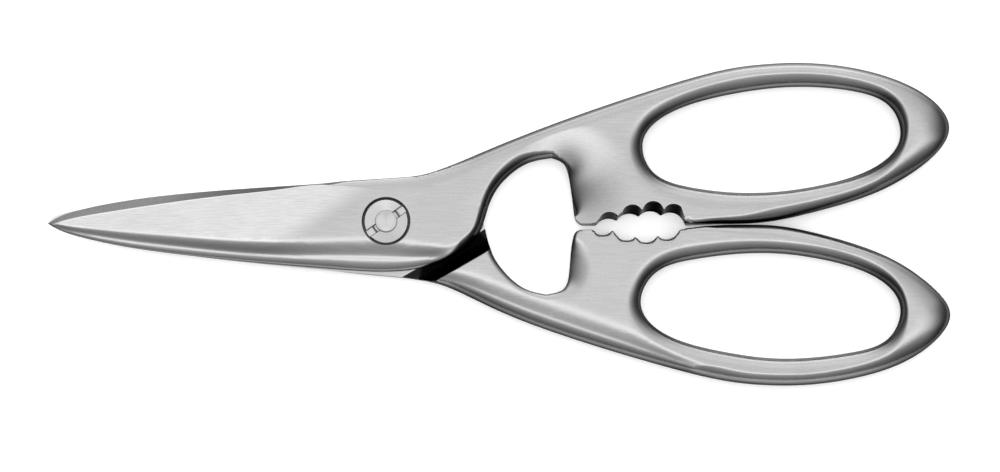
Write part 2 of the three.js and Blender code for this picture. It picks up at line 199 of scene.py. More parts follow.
# Distances from an edge at which the mesh has a row of points.
EDGE_ROWS = (0.03, 0.1, 0.22, 0.4, 0.62, 0.88, 1.15, 1.45, 1.75, 2.05, 2.35, 2.65, 2.95, 3.4, 4, 4.6)
LAST_DENSE_ROW = 3                    # rows further in have half as many points
INSIDE_DISTANCE = 5.1
OUTLINE_SPACING = 0.6
FINE_SPACING = 0.25
INSIDE_SPACING = 1
SPECIAL_DISTANCE = 0.05
SEAT_ZONE = 0.4                       # only the seats' own rings have points up to this far out
CLEARANCE = 0.93                      # how near to its wanted distance a point may come
TIP_ROWS = 5                          # the bevel's border starts after these rows
JAW_INSET = 0.4                       # where the jaw's own lines stop
LIP_ROWS = (0, 0.15, 0.4, 0.7, 1)

# Distances from the step, and from the line where the ground face starts, with a row of points.
STEP_ROWS = (-5, -4.84, -4.76, -4.6, -4.3, -4, -3.7, -3.4, -3.1, -2.8, -2.5, -2.2, -1.9, -1.6,
             -1.3, -1, -0.75, -0.5, -0.3, -0.15, -0.05, 0, STEP_WALL, 0.08, 0.15, STEP_CREST, 0.5)
STEP_ZONE = (-5.3, 0.7)               # only the step's own rows have points here
GRIND_ROWS = (-1.6, -0.9, -0.5, -0.2, 0, 0.2, 0.5, 0.9, 1.6)

# Painted shade in the hollows of the forged steel: the bites, the groove at the foot of the step and
# the seats round the pivot.
JAW_SHADE_STRENGTH = 0.95                   # how dark the painted shade in the bites is and up to which share of their slanted wall
JAW_SHADE_SHARE = 0.85                 # and up to which share of their slanted wall
JAW_SHADE_FADE = (0.15, 0.4)                # how softly that ends: a base, and more for a wider lip
# how softly the painted shade in the groove at the foot of the step starts
FOOT_SHADE_FADE = 0.2
SHADED_WELL_Z = 5.6                          # painted shade in the seats under this height

BORDER_GAP = 0.07                     # rows that keep the bevel's border crisp
THINNEST = 0.1                        # least thickness of the metal
NARROWEST = 0.2                       # least width of a shaped edge
CHUNK = 1000                          # points worked on at a time
AWAY = 9.0                            # a share that means far from the edge
SQUARE_EDGE = (2, 0, 0, 0.1)          # power, shoulder, hollow and width where there is no shaped edge
ROUND_STEPS = 96                      # corners of a bored or turned circle
PLATE_SHARP = math.radians(38)
TURNED_SHARP = math.radians(30)


# ---- curves ---------------------------------------------------------------------------------

def curve_slopes(values, at, closed):
    """Second derivatives at the knots of the cubic spline through values."""
    count, step = len(at), np.diff(at)
    matrix, right = np.eye(count), np.zeros((count, values.shape[1]))
    rise = np.diff(values, axis=0) / step[:, None]
    for i in range(1, count - 1):
        matrix[i, i - 1:i + 2] = step[i - 1], 2 * (step[i - 1] + step[i]), step[i]
        right[i] = 6 * (rise[i] - rise[i - 1])
    if closed:
        matrix[0, :2] = 2 * (step[0] + step[-1]), step[0]
        matrix[0, -2] = step[-1]
        right[0] = 6 * (rise[0] - rise[-1])
        matrix[-1, 0], matrix[-1, -1] = -1, 1
    return np.linalg.solve(matrix, right)


def smooth(knots, spacing, closed=False):
    """Outline rows along the smooth curve through knots."""
    table = np.array([(x, y, *STYLES[style], width) for x, y, style, width in knots])
    if closed:
        table = np.vstack([table, table[:1]])
    chords = np.linalg.norm(np.diff(table[:, :LOW], axis=0), axis=1)
    at = np.concatenate([[0], np.cumsum(np.sqrt(chords) * math.sqrt(chords.mean()))])
    curved = [X, Y, WIDTH]
    bend = curve_slopes(table[:, curved], at, closed)
    rows = []
    for i, chord in enumerate(chords):
        share = np.linspace(0, 1, max(2, round(chord / spacing)), endpoint=False)[:, None]
        gap = at[i + 1] - at[i]
        place = (1 - share) * table[i] + share * table[i + 1]
        eased = share ** 2 * (3 - 2 * share)
        place[:, LOW:WIDTH] = (
            (1 - eased) * table[i, LOW:WIDTH] + eased * table[i + 1, LOW:WIDTH])
        place[:, curved] += gap ** 2 / 6 * (
            ((1 - share) ** 3 - (1 - share)) * bend[i] + (share ** 3 - share) * bend[i + 1])
        rows.append(place)
    if not closed:
        rows.append(table[-1:])
    rows = np.vstack(rows)
    rows[:, WIDTH] = np.maximum(rows[:, WIDTH], NARROWEST)
    return rows


def bite_line(bites, radius, x, floor):
    """Height of a row of round bites above x, never under floor."""
    top = floor
    for centre, height in bites:
        rise = np.clip(radius ** 2 - (x - centre) ** 2, 0, None)
        top = np.maximum(top, np.where(rise > 0, height - radius + np.sqrt(rise), floor))
    return top


def jaw_lines(half, x):
    """The jaw's edge where the bites are shallow and where they are deep."""
    base = half["parting"](x)
    ends = np.clip(np.minimum(x - JAW_X[0], JAW_X[1] - x), 0, 1)
    shallow = bite_line(half["bites"][0], BITE_RADII[0], x, base)
    deep = bite_line(half["bites"][1], BITE_RADII[1], x, base)
    least = JAW_WALL[0] + (JAW_WALL[1] - JAW_WALL[0]) * ends
    return shallow, shallow + np.maximum((deep - shallow) * ends, least)


def styled_rows(places, shape):
    """Outline rows through places, with the same edge all along."""
    return np.column_stack([places, np.broadcast_to(shape, (len(places), len(shape)))])


def outline(half):
    """The closed outer line of a half, with its edge shape in every row."""
    jaw_x = np.arange(JAW_X[1], half["inner"][0][0] + FINE_SPACING / 2, -FINE_SPACING)
    jaw = styled_rows(
        np.column_stack([jaw_x, jaw_lines(half, jaw_x)[0]]), (*STYLES["wall"], JAW_EDGE))
    fine = next(i for i, knot in enumerate(half["inner"]) if knot[0] < DEE_CORNER_X)
    return np.vstack([
        smooth(half["edge"], OUTLINE_SPACING), jaw,
        smooth(half["inner"][:fine + 1], FINE_SPACING)[:-1],
        smooth(half["inner"][fine:], OUTLINE_SPACING)[:-1],
    ])


# ---- height of a half's two faces ------------------------------------------------------------

def step_distance(points):
    """How far points lie past the step, on the side of the handle."""
    return points @ STEP_NORMAL - STEP_DISTANCE


def grind_distance(points):
    """How far points lie past the line where the ground blade face starts."""
    return (points - GRIND_START) @ GRIND_NORMAL


def face_height(points):
    """The flat outer face and the ground blade face, with a soft line between them."""
    past = grind_distance(points)
    return THICKNESS - GRIND_SLOPE * (past + np.hypot(past, GRIND_SOFTNESS)) / 2


def section(share, power, shoulder, hollow):
    """Height of an edge's section, from 0 at its outermost line to 1 where it meets the face."""
    reach = 1 - (1 - LIP_REACH) * np.clip(shoulder / FULL_SHOULDER, 0, 1)
    near = np.clip(share / reach, 0, 1)
    rounded = (1 - (1 - near) ** power) ** (1 / power)
    step = np.clip((share - LIP_REACH) / (1 - LIP_REACH), 0, 1)
    return (1 - shoulder) * rounded + shoulder * (1 - (1 - step) ** 3 * (1 + hollow * step))


def edge_heights(points, loops):
    """Distance to the nearest edge, height under the edges of the top face and of the flat
    handle face, and how far across its cutting bevel and its nearest edge each point lies."""
    start = np.vstack(loops)
    end = np.vstack([np.roll(rows, -1, 0) for rows in loops])
    starts = np.cumsum([0] + [len(rows) for rows in loops[:-1]])
    run = end - start
    length2 = (run[:, :LOW] ** 2).sum(1)
    results = []
    for part in np.array_split(points, max(1, len(points) // CHUNK)):
        offset = part[:, None] - start[None, :, :LOW]
        share = np.clip((offset * run[:, :LOW]).sum(2) / length2, 0, 1)
        gap = np.linalg.norm(offset - share[..., None] * run[:, :LOW], axis=2)
        low, power, shoulder, hollow, width = (
            start[:, i] + share * run[:, i] for i in range(LOW, WIDTH + 1))
        rise = section(np.clip(gap / width, 0, 1), power, shoulder, hollow)
        heights = []
        for face in (face_height(part), np.full(len(part), THICKNESS)):
            under = low + (face[:, None] - low) * rise
            nearest = np.minimum.reduceat(under, starts, axis=1)
            rises = (nearest - MIDDLE_Z) / (face[:, None] - MIDDLE_Z)
            heights.append(MIDDLE_Z + (face - MIDDLE_Z) * rises.prod(1))
        across = np.where(power < BEVEL_POWER, gap / width, AWAY).min(1)
        results.append(np.stack([gap.min(1), *heights, across, (gap / width).min(1)], 1))
    return np.vstack(results).T


def jaw_share(half, points):
    """0 on the jaw's shallow line, 1 on its deep line, and AWAY where there is no jaw."""
    x = points[:, 0]
    shallow, deep = jaw_lines(half, x)
    near = (x > JAW_X[0]) & (x < JAW_X[1]) & (points[:, 1] < JAW_TOP)
    return np.where(near, np.minimum((points[:, 1] - shallow) / (deep - shallow), AWAY - 1), AWAY)


def jaw_height(half, points):
    """Height of the jaw's slanted wall and of the rounded lip behind its deep line."""
    share = jaw_share(half, points)
    depth, width = half["jaw_lip"]
    past = np.clip((points[:, 1] - jaw_lines(half, points[:, 0])[1]) / width, 0, 1)
    lip = THICKNESS - depth * (1 - np.sqrt(1 - (1 - past) ** 2))
    wall = np.maximum((THICKNESS - depth) * share, THINNEST)
    return np.where(share < 1, wall, np.where(share < AWAY, lip, THICKNESS))


def seat(radius, seat_radius, floor, face):
    """A round seat cut into a face, with a small chamfer at its rim."""
    rim = face - (seat_radius + SEAT_CHAMFER - radius)
    return np.where(radius < seat_radius - STEP_WALL / 2, floor, np.minimum(face, rim))


def half_heights(half, points, loops):
    """Heights of a half's outer and inner face, and how far points lie across bevel and edge."""
    _, top, flat, across, edge_share = edge_heights(points, loops)
    radius = np.linalg.norm(points, axis=1)
    past = step_distance(points)
    crest = STEP_CREST - np.sqrt(STEP_CREST ** 2 - np.clip(STEP_CREST - past, 0, STEP_CREST) ** 2)
    handle = np.maximum(THICKNESS - flat, crest)
    fall = np.clip(past / STEP_FILLET + 1, 0, 1) ** FILLET_POWER
    thin = MATING_Z - (MATING_Z - 2 * STEP_CREST) * fall
    into_groove = np.clip(1 - np.hypot(past + GROOVE_MIDDLE, GROOVE_ROUND) / GROOVE_REACH, 0, 1)
    thin = thin + GROOVE_DEPTH * into_groove
    bottom = np.where(past > STEP_WALL / 2, handle, np.maximum(thin, handle))
    jaw = jaw_height(half, points)
    if half is FRONT:
        top = np.minimum(top, jaw)
        top = seat(radius, *FRONT_SEAT, top)
    else:
        bottom = np.maximum(bottom, THICKNESS - jaw)
        top = seat(radius, *HEAD_SEAT, top)
        bottom = THICKNESS - seat(
            radius, WASHER_SEAT[0], THICKNESS - WASHER_SEAT[1], THICKNESS - bottom)
    bottom = np.maximum(bottom, 0)
    return np.maximum(top, bottom + THINNEST), bottom, across, edge_share


# ---- meshes ---------------------------------------------------------------------------------

def into_metal(rows):
    """Unit vectors pointing into the metal from each point of a closed line."""
    along = (np.roll(rows, -1, 0) - np.roll(rows, 1, 0))[:, :LOW]
    side = np.stack([along[:, 1], -along[:, 0]], 1)
    return side / np.linalg.norm(side, axis=1)[:, None]


def split_at_step(rows, level):
    """The closed line with a point added wherever it crosses the step."""
    across = step_distance(rows[:, :LOW]) - level
    following = np.roll(across, -1)
    hit = np.flatnonzero(across * following < 0)
    share = (across[hit] / (across[hit] - following[hit]))[:, None]
    added = (1 - share) * rows[hit] + share * np.roll(rows, -1, 0)[hit]
    return np.insert(rows, hit + 1, added, axis=0)


def circle(radius, count):
    """Points round the pivot."""
    turn = np.arange(count) * math.tau / count
    return radius * np.stack([np.cos(turn), np.sin(turn)], 1)


def straight_rows(foot, normal, distances, reach, spacing):
    """Points along parallel lines at distances along normal from foot."""
    along = np.array([-normal[1], normal[0]])
    steps = np.arange(-reach, reach, spacing)
    return np.vstack([foot + d * normal + steps[:, None] * along for d in distances])


def inside(points, loops):
    """Whether each point is in the metal."""
    crossed = np.zeros(len(points), int)
    for rows in loops:
        line = rows[:, :LOW]
        following = np.roll(line, -1, 0)
        for (x0, y0), (x1, y1) in zip(line, following):
            between = (points[:, 1] < y0) != (points[:, 1] < y1)
            with np.errstate(divide="ignore", invalid="ignore"):
                at = x0 + (points[:, 1] - y0) * (x1 - x0) / (y1 - y0)
            crossed += between & (points[:, 0] < at)
    return crossed % 2 == 1


def grid(low, high, spacing):
    """A triangular grid of points."""
    rows = np.arange(low[1], high[1], spacing * math.sqrt(3) / 2)
    columns = np.arange(low[0], high[0], spacing)
    shift = np.where(np.arange(len(rows)) % 2, spacing / 2, 0)
    x = columns[None, :] + shift[:, None]
    y = np.broadcast_to(rows[:, None], x.shape)
    return np.stack([x.ravel(), y.ravel()], 1)


def triangulate(loops, lines, seeds):
    """Points and triangles that fill the metal between the loops, with edges along lines."""
    points, edges = [], []
    for line, closed in [(rows[:, :LOW], True) for rows in loops] + [(p, False) for p in lines]:
        first = sum(map(len, points))
        numbers = list(range(first, first + len(line)))
        edges += zip(numbers, numbers[1:] + numbers[:1] if closed else numbers[1:])
        points.append(line)
    everything = np.vstack(points + [seeds])
    made = delaunay_2d_cdt([Vector(p) for p in everything], edges, [], 0, 1e-5)
    flat = np.array([tuple(p) for p in made[0]])
    triangles = np.array([t for t in made[2] if len(t) == 3])
    triangles = triangles[inside(flat[triangles].mean(1), loops)]
    a, b, c = (flat[triangles[:, i]] for i in range(3))
    turned = np.cross(b - a, c - a) < 0
    triangles[turned] = triangles[turned][:, ::-1]
    used = np.unique(triangles)
    renumber = np.full(len(flat), -1)
    renumber[used] = np.arange(len(used))
    return flat[used], renumber[triangles]


def plate(name, flat, triangles, top, bottom):
    """A closed mesh between two heights over the same triangles."""
    count = len(flat)
    edges = np.vstack([triangles[:, [0, 1]], triangles[:, [1, 2]], triangles[:, [2, 0]]])
    key = np.sort(edges, axis=1) @ np.array([count, 1])
    _, index, uses = np.unique(key, return_index=True, return_counts=True)
    rim = edges[index[uses == 1]]
    walls = np.stack([rim[:, 1], rim[:, 0], rim[:, 0] + count, rim[:, 1] + count], 1)
    faces = triangles.tolist() + (triangles[:, ::-1] + count).tolist() + walls.tolist()
    upper = np.column_stack([flat, top])
    lower = np.column_stack([flat, bottom])
    mesh = bpy.data.meshes.new(name)
    mesh.from_pydata((np.vstack([upper, lower]) * MM).tolist(), [], faces)
    return finish_mesh(mesh, PLATE_SHARP)


def finish_mesh(mesh, sharp):
    """An object of the mesh, shaded smooth except where it bends more than the angle sharp."""
    mesh.validate()
    mesh.shade_smooth()
    mesh.set_sharp_from_angle(angle=sharp)
    piece = bpy.data.objects.new(mesh.name, mesh)
    bpy.context.scene.collection.objects.link(piece)
    return piece


def stored(piece, name, values):
    """Keeps one number for each vertex, for the material."""
    piece.data.attributes.new(name, "FLOAT", "POINT").data.foreach_set("value", values)


def feature_lines(half, outer):
    """Lines that the mesh follows: the bevel's inner border, and the jaw's wall and lip."""
    bevel = (outer[:, POWER] < BEVEL_POWER) & (np.arange(len(outer)) >= TIP_ROWS)
    inward, reach = into_metal(outer)[bevel], outer[bevel, WIDTH]
    for _ in range(3):
        border = outer[bevel, :LOW] + inward * reach[:, None]
        reach = reach / edge_heights(border, [outer])[3]
    beside = [border + side * inward for side in (-BORDER_GAP, BORDER_GAP)]
    x = np.arange(JAW_X[0] + JAW_INSET, JAW_X[1] - JAW_INSET, FINE_SPACING)
    shallow, deep = jaw_lines(half, x)
    lip = [deep + share * half["jaw_lip"][1] for share in LIP_ROWS]
    return [border, *beside] + [
        np.column_stack([x, y]) for y in ((shallow + deep) / 2, *lip)]


def seat_seeds(radii, count=ROUND_STEPS):
    """Rings of points round the pivot."""
    return np.vstack([circle(radius, count) for radius in radii])


def half_mesh(name, half, bore, seat_radii):
    """One half of the shears as a closed mesh, in its own frame."""
    outer = outline(half)
    for level in (0, STEP_WALL):
        outer = split_at_step(outer, level)
    bore_rows = styled_rows(circle(bore, ROUND_STEPS), (THICKNESS, *SQUARE_EDGE))
    loops = [outer, smooth(half["hole"], OUTLINE_SPACING, closed=True), bore_rows]
    lines = feature_lines(half, outer)

    shifted = []
    for distance in EDGE_ROWS:
        keep = slice(None, None, 1 if distance < LAST_DENSE_ROW else 2)
        for rows in loops[:2]:
            shifted.append((rows[:, :LOW] + into_metal(rows) * distance)[keep])
    wanted = np.concatenate([np.full(len(p), d) for p, d in zip(
        shifted, np.repeat(EDGE_ROWS, 2))])
    hexagons = grid(outer[:, :LOW].min(0), outer[:, :LOW].max(0), INSIDE_SPACING)
    candidates = np.vstack(shifted + [hexagons])
    wanted = np.concatenate([wanted, np.full(len(hexagons), INSIDE_DISTANCE)])
    step = step_distance(candidates)
    free = ((step < STEP_ZONE[0]) | (step > STEP_ZONE[1])) & (
        np.linalg.norm(candidates, axis=1) > max(seat_radii) + SEAT_ZONE)
    candidates, wanted = candidates[free], wanted[free]

    special = np.vstack([
        straight_rows(
            STEP_NORMAL * STEP_DISTANCE, STEP_NORMAL, STEP_ROWS, reach=25, spacing=0.5),
        straight_rows(
            (GRIND_START + GRIND_END) / 2, GRIND_NORMAL, GRIND_ROWS, reach=14, spacing=0.9),
        seat_seeds(seat_radii),
    ])
    candidates = np.vstack([candidates, special])
    wanted = np.concatenate([wanted, np.full(len(special), SPECIAL_DISTANCE)])
    candidates_in = inside(candidates, loops)
    candidates, wanted = candidates[candidates_in], wanted[candidates_in]
    gap = edge_heights(candidates, loops)[0]
    seeds = candidates[gap > CLEARANCE * wanted]

    flat, triangles = triangulate(loops, lines, seeds)
    top, bottom, across, edge_share = half_heights(half, flat, loops)
    piece = plate(name, flat, triangles, top, bottom)
    away = np.full(len(flat), AWAY)
    stored(piece, "bevel", np.concatenate([across, away]))
    stored(piece, "edge", np.concatenate([edge_share, away]))
    # Painted shade: darker colour in the bites, in the groove at the foot of the step and in the seats
    # round the pivot, kept for the material.
    past = step_distance(flat)
    foot = np.clip((past + GROOVE_MIDDLE + GROOVE_REACH) / FOOT_SHADE_FADE, 0, 1) * (past < 0)
    well_shade = np.linalg.norm(flat, axis=1) < seat_radii[-1]
    fade = JAW_SHADE_FADE[0] + JAW_SHADE_FADE[1] * half["jaw_lip"][1]
    bite_shade = JAW_SHADE_STRENGTH * np.clip((JAW_SHADE_SHARE + fade - jaw_share(half, flat)) / fade, 0, 1)
    upper, lower = (bite_shade, 0 * away) if half is FRONT else (0 * away, bite_shade)
    stored(piece, "recess_shade", np.concatenate([
        np.maximum(upper, well_shade * (top < SHADED_WELL_Z)), np.maximum(lower, foot)]))
    return piece


# ---- turned and sawn hardware -----------------------------------------------------------------

def turned(name, profile, solid=False, square_rows=()):
    """A body of revolution about the pivot, from rows of radius and z. A ring is the default;
    a solid body is closed at both ends. Square rows are square bars instead of round ones."""
    corners = circle(1, ROUND_STEPS)
    square = 1 / np.abs(corners).max(1)[:, None]
    rows = []
    for number, (radius, z) in enumerate(profile):
        line = radius * corners * (square if number in square_rows else 1)
        rows.append(np.column_stack([line, np.full(ROUND_STEPS, z)]))
    faces = []
    if solid:
        faces += [range(ROUND_STEPS)[::-1], range(len(profile) * ROUND_STEPS)[-ROUND_STEPS:]]
    for row in range(len(profile) - solid):
        this = row * ROUND_STEPS
        following = (row + 1) % len(profile) * ROUND_STEPS
        for i in range(ROUND_STEPS):
            j = (i + 1) % ROUND_STEPS
            faces.append((this + i, this + j, following + j, following + i))
    mesh = bpy.data.meshes.new(name)
    mesh.from_pydata((np.vstack(rows) * MM).tolist(), [], faces)
    return finish_mesh(mesh, TURNED_SHARP)


# The ring nut's face.
NUT_STEPS = 120
NUT_RINGS = 14
SLOT_SPACING = 0.2
SLOT_ROW_GAP = 0.04                   # rows just beyond both lines of a slot's wall
SLOT_CLEARANCE = 0.15                 # the rings stay this clear of the walls' middle
NUT_CLEARANCE = 0.03                  # and the slots' rows this clear of bore and rim
SLOT_LEAN = 0.24                      # how far the slots' walls lean
SLOT_POCKET = 0.3                     # the slots are this much deeper at the bore,
POCKET_END, POCKET_RAMP = 0.36, 0.2   # up to this share of the way out, over this share
NUT_DISH = 0.36
NUT_CHAMFER = 0.2
TOP_CHAMFER_WIDTH = 0.07              # both widths as shares of the way from bore to rim
LOW_CHAMFER_WIDTH = 0.2


def nut_mesh(name, low, high, outer_radius, bore, slot_width, slot_depth, slot_turn):
    """The ring nut: two driver slots across a lightly dished face with a broken rim."""
    loops = [styled_rows(circle(radius, NUT_STEPS)[::way], (high, *SQUARE_EDGE))
             for radius, way in ((outer_radius, -1), (bore, 1))]
    along = np.array([math.cos(slot_turn), math.sin(slot_turn)])
    across = np.array([-along[1], along[0]])
    reach = np.arange(-outer_radius, outer_radius, SLOT_SPACING)[:, None] * along
    insets = (-SLOT_ROW_GAP, 0, SLOT_LEAN, SLOT_LEAN + SLOT_ROW_GAP)
    walls = np.vstack([
        reach + side * (slot_width / 2 - inset) * across for side in (-1, 1) for inset in insets])
    rings = seat_seeds(np.linspace(bore, outer_radius, NUT_RINGS)[1:-1], NUT_STEPS)
    from_wall = np.abs(np.abs(rings @ across) - (slot_width - SLOT_LEAN) / 2)
    seeds = np.vstack([walls, rings[from_wall > SLOT_CLEARANCE]])
    radius = np.linalg.norm(seeds, axis=1)
    seeds = seeds[(radius > bore + NUT_CLEARANCE) & (radius < outer_radius - NUT_CLEARANCE)]
    flat, triangles = triangulate(loops, [], seeds)
    share = (np.linalg.norm(flat, axis=1) - bore) / (outer_radius - bore)
    into_rim = np.clip((share - 1) / TOP_CHAMFER_WIDTH + 1, 0, 1)
    top = high - NUT_DISH * (1 - share) - NUT_CHAMFER * into_rim ** 2
    in_slot = np.clip((slot_width / 2 - np.abs(flat @ across)) / SLOT_LEAN, 0, 1)
    pocket = SLOT_POCKET * np.clip((POCKET_END - share) / POCKET_RAMP, 0, 1)
    top = np.minimum(top, high - (slot_depth + pocket) * in_slot)
    bottom = low + NUT_CHAMFER * np.clip((share - 1) / LOW_CHAMFER_WIDTH + 1, 0, 1)
    return plate(name, flat, triangles, top, bottom)


# ---- materials ---------------------------------------------------------------------------------

class Nodes:
    """Shorthand for building the node tree of a material or a world."""

    def __init__(self, owner, shader="Principled BSDF", coordinates="Object"):
        owner.use_nodes = True
        self.owner = owner
        self.tree = owner.node_tree
        self.surface = self.tree.nodes[shader]
        self.place = self.add("TexCoord", output=coordinates)

    def add(self, kind, inputs=(), output=0, **settings):
        """A new node's output. Inputs are links or plain values."""
        node = self.tree.nodes.new("ShaderNode" + kind)
        for name, value in settings.items():
            setattr(node, name, value)
        for socket, value in dict(inputs).items():
            self.feed(node.inputs[socket], value)
        return node.outputs[output]

    def feed(self, socket, value):
        if isinstance(value, bpy.types.NodeSocket):
            self.tree.links.new(value, socket)
        else:
            socket.default_value = value

    def math(self, operation, a, b=0.0):
        return self.add("Math", {0: a, 1: b}, operation=operation)

    def ramp(self, value, low, high, start, end):
        """Value taken smoothly from start at low to end at high."""
        return self.add("MapRange", {
            "Value": value, "From Min": low, "From Max": high, "To Min": start, "To Max": end,
        }, interpolation_type="SMOOTHSTEP")

    def mix(self, share, a, b):
        """From a, where share is 0, to b, where it is 1."""
        return self.math("ADD", self.math("MULTIPLY", self.math("SUBTRACT", 1.0, share), a),
                         self.math("MULTIPLY", share, b))

    def varied(self, value, noise, amount):
        """Value with up to half of amount more or less, by a noise from 0 to 1."""
        return self.math("ADD", value, self.math(
            "MULTIPLY", self.math("SUBTRACT", noise, 0.5), amount))

    def grey(self, value):
        return self.add("CombineColor", {0: value, 1: value, 2: value})

    def stretched(self, scale, turn=0.0):
        """Object coordinates turned about Z and scaled, for grain that runs one way."""
        turned_place = self.add("VectorRotate", {
            "Vector": self.place, "Angle": turn}, rotation_type="Z_AXIS")
        return self.add("VectorMath", {0: turned_place, 1: scale}, operation="MULTIPLY")

    def noise(self, vector, scale=1.0, detail=2.0):
        return self.add("TexNoise", {"Vector": vector, "Scale": scale, "Detail": detail})


# Forged steel: how light its finishes are, and how rough, with the painted shade and highlight in its
# colour.
SATIN_TONE, GROUND_TONE, BEVEL_TONE = 0.24, 0.34, 0.112
SATIN_ROUGH, GROUND_ROUGH, BEVEL_ROUGH = 0.24, 0.26, 0.42
BORDER_HIGHLIGHT_TONE = 0.08                    # painted highlight added where the bevel meets the blade's face
SERRATION_CONTRAST = 0.018
STEEP_SHADE_TONE = 0.22                     # share of the tone left by the painted shade on a near-upright side, on a side that faces along the blade, and in the painted shade of the hollows
ENDWAYS_SHADE_TONE = 0.3                    # on a side that faces along the blade,
RECESS_SHADE_TONE = 0.22                    # and where the steel is unpolished
STEEL_TINT = (0.4, 0.4, 0.4, 1)

# Its grain: repeats per metre along X, Y and Z, and a slight turn about Z.
BRUSHED_GRAIN = (170.0, 6500.0, 6500.0)
SATIN_GRAIN, SATIN_TURN = (250.0, 4500.0, 4500.0), 0.03
CROSS_GRAIN, CROSS_TURN = (9000.0, 500.0, 500.0), 0.12
SPECK_SCALE = 3600.0
CLOUD_SCALE = 90.0
GRAIN_CONTRAST, CLOUD_CONTRAST = 0.45, 0.3
GRAIN_ROUGH = 0.1

# Turned metal: how much its marks and clouds show.
MARK_DETAIL = 4.0
TURNED_CLOUD_SCALE = 250.0
MARK_CONTRAST, TURNED_CLOUD_CONTRAST = 0.12, 0.06
MARK_ROUGH = 0.15


def forged_steel():
    """Satin forged steel: brushed along the blade, ground across the cutting bevel, with painted shade
    on upright sides and in hollows and a painted highlight along the bevel's border.
    """
    nodes = Nodes(bpy.data.materials.new("forged_satin_steel"))
    normal = nodes.add("NewGeometry", output="Normal")
    facing = nodes.add("SeparateXYZ", {0: normal}, 2)
    aside = nodes.math("ABSOLUTE", nodes.add("SeparateXYZ", {0: normal}, 0))
    edge, across_bevel, recess_shade = (
        nodes.add("Attribute", output=2, attribute_name=name)
        for name in ("edge", "bevel", "recess_shade"))

    # 1 on the ground blade face, on the bevel and along its border, and 0 elsewhere
    grind = nodes.add("VectorMath", {
        0: nodes.place, 1: tuple(GRIND_NORMAL / MM) + (0.0,)}, 1, operation="DOT_PRODUCT")
    ground = nodes.ramp(nodes.math("SUBTRACT", grind, GRIND_LEVEL), -3.0, 2.5, 0.0, 1.0)
    ground = nodes.math("MULTIPLY", ground, nodes.ramp(edge, 0.75, 1.0, 0.0, 1.0))
    ground = nodes.math("MULTIPLY", ground, nodes.ramp(facing, 0.96, 0.99, 0.0, 1.0))
    bevel = nodes.ramp(across_bevel, 0.98, 1.02, 1.0, 0.0)
    # A painted highlight just past the bevel's border, on the blade's face.
    border = nodes.math("MULTIPLY", nodes.ramp(across_bevel, 0.97, 1.0, 0.0, 1.0),
                        nodes.ramp(across_bevel, 1.06, 1.2, 1.0, 0.0))

    brushed = nodes.noise(nodes.stretched(BRUSHED_GRAIN))
    satin = nodes.mix(0.5, nodes.noise(nodes.stretched(SATIN_GRAIN, SATIN_TURN)),
                      nodes.noise(nodes.place, SPECK_SCALE))
    across = nodes.noise(nodes.stretched(CROSS_GRAIN, CROSS_TURN))
    grain = nodes.mix(bevel, nodes.mix(ground, satin, brushed), across)
    clouds = nodes.noise(nodes.place, CLOUD_SCALE)

    # Painted shade: the colour is darker on near-upright sides, and darker still on sides that face
    # along X.
    side_shade = nodes.math("MULTIPLY", nodes.ramp(facing, 0.15, 0.75, STEEP_SHADE_TONE, 1.0),
                       nodes.ramp(aside, 0.06, 0.5, 1.0, ENDWAYS_SHADE_TONE))
    tone = nodes.math("MULTIPLY", nodes.mix(ground, SATIN_TONE, GROUND_TONE), side_shade)
    tone = nodes.math("ADD", tone, nodes.math("MULTIPLY", border, BORDER_HIGHLIGHT_TONE))
    # Painted shade in the hollows.
    tone = nodes.math("MULTIPLY", tone, nodes.ramp(recess_shade, 0.0, 1.0, 1.0, RECESS_SHADE_TONE))
    x = nodes.add("SeparateXYZ", {0: nodes.place}, 0)
    serration = nodes.math("SINE", nodes.math("MULTIPLY", x, math.tau / (SERRATION_PITCH * MM)))
    cut = nodes.math("ADD", BEVEL_TONE, nodes.math("MULTIPLY", serration, SERRATION_CONTRAST))
    tone = nodes.mix(bevel, tone, cut)
    pattern = nodes.varied(nodes.math("SUBTRACT", grain, 0.5), clouds, CLOUD_CONTRAST)
    spread = nodes.math("MULTIPLY", nodes.math("MULTIPLY", tone, GRAIN_CONTRAST), pattern)

    rough = nodes.mix(bevel, nodes.mix(ground, SATIN_ROUGH, GROUND_ROUGH), BEVEL_ROUGH)
    bump = nodes.add("Bump", {"Height": grain, "Strength": 0.12, "Distance": 0.00005})
    nodes.feed(nodes.surface.inputs["Base Color"], nodes.grey(nodes.math("ADD", spread, tone)))
    nodes.feed(nodes.surface.inputs["Roughness"], nodes.varied(rough, grain, GRAIN_ROUGH))
    nodes.feed(nodes.surface.inputs["Metallic"], 1.0)
    nodes.feed(nodes.surface.inputs["Specular Tint"], STEEL_TINT)
    nodes.feed(nodes.surface.inputs["Normal"], bump)
    return nodes.owner


